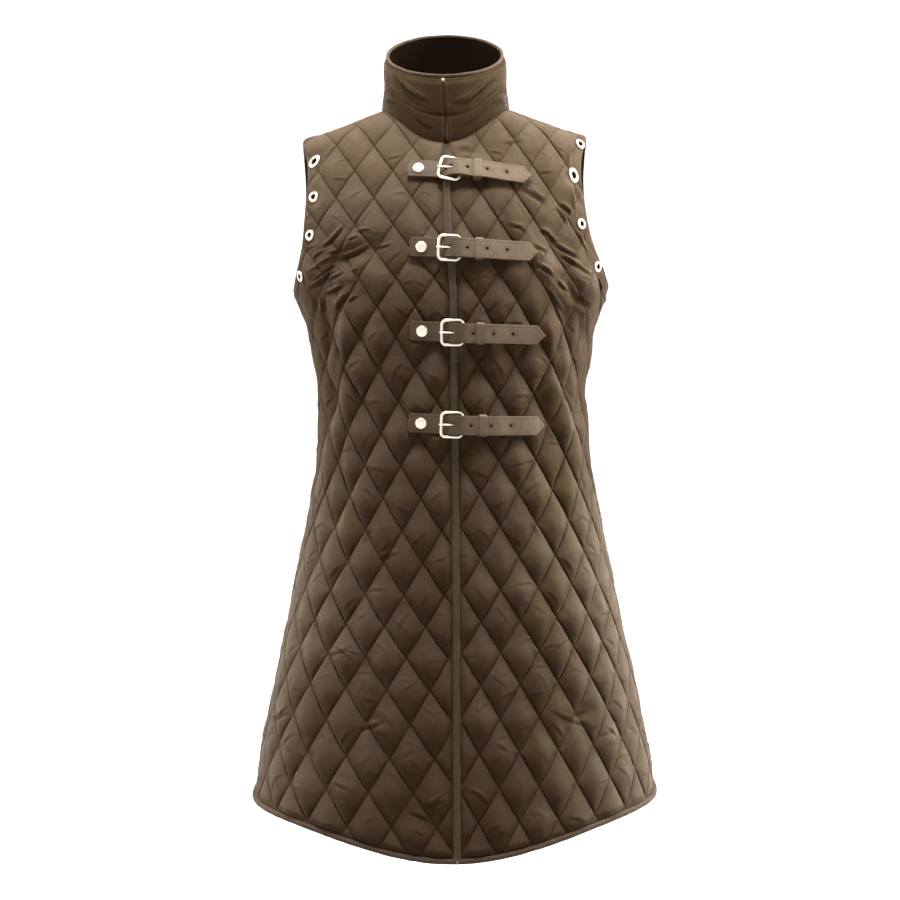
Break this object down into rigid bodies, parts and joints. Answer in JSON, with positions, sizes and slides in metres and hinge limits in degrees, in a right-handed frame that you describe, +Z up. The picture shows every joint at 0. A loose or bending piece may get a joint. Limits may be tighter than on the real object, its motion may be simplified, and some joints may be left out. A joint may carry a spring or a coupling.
{
  "type": "sleeveless quilted gambeson",
  "caption": "Knee-length sleeveless arming coat of diamond-quilted cloth with a stand collar, flared skirt, laced-sleeve eyelets and strap-and-buckle front, worn form.",
  "frame": {"origin": "midpoint between the high points of the two shoulders, in the middle of the body from front to back, where the wearer's shoulders carry the coat", "axes": "+Z up; -Y is the front with the closing edge and buckles; +X is the wearer's left"},
  "size_m": [0.4932, 0.3411, 0.9547],
  "materials": {
    "quilted_cloth": "padded cotton cloth in taupe brown, matt, soft nap, quilted in tall diamonds",
    "binding_cloth": "folded cotton tape, taupe, stitched along its inner edge",
    "strap_leather": "grey-tan split leather, matt with scuffs",
    "nickel": "warm nickel plate, polished with fine wear"
  },
  "bodies": {
    "root": {"front_right": "quilted_cloth", "front_left": "quilted_cloth", "back": "quilted_cloth", "collar": "quilted_cloth", "collar_binding": "binding_cloth", "collar_hook": "nickel", "front_edge_binding": "binding_cloth", "hem_binding_right": "binding_cloth", "hem_binding_left": "binding_cloth", "hem_binding_back": "binding_cloth", "strap_1": "strap_leather", "buckle_1": "nickel", "prong_1": "nickel", "chape_1": "strap_leather", "keeper_1": "strap_leather", "rivet_1": "nickel", "strap_2": "strap_leather", "buckle_2": "nickel", "prong_2": "nickel", "chape_2": "strap_leather", "keeper_2": "strap_leather", "rivet_2": "nickel", "strap_3": "strap_leather", "buckle_3": "nickel", "prong_3": "nickel", "chape_3": "strap_leather", "keeper_3": "strap_leather", "rivet_3": "nickel", "strap_4": "strap_leather", "buckle_4": "nickel", "prong_4": "nickel", "chape_4": "strap_leather", "keeper_4": "strap_leather", "rivet_4": "nickel", "eyelet_right_front_1": "nickel", "eyelet_right_front_2": "nickel", "eyelet_right_front_3": "nickel", "eyelet_right_front_4": "nickel", "eyelet_left_front_1": "nickel", "eyelet_left_front_2": "nickel", "eyelet_left_front_3": "nickel", "eyelet_left_front_4": "nickel", "eyelet_right_back_1": "nickel", "eyelet_right_back_2": "nickel", "eyelet_right_back_3": "nickel", "eyelet_right_back_4": "nickel", "eyelet_left_back_1": "nickel", "eyelet_left_back_2": "nickel", "eyelet_left_back_3": "nickel", "eyelet_left_back_4": "nickel"}
  },
  "joints": []
}
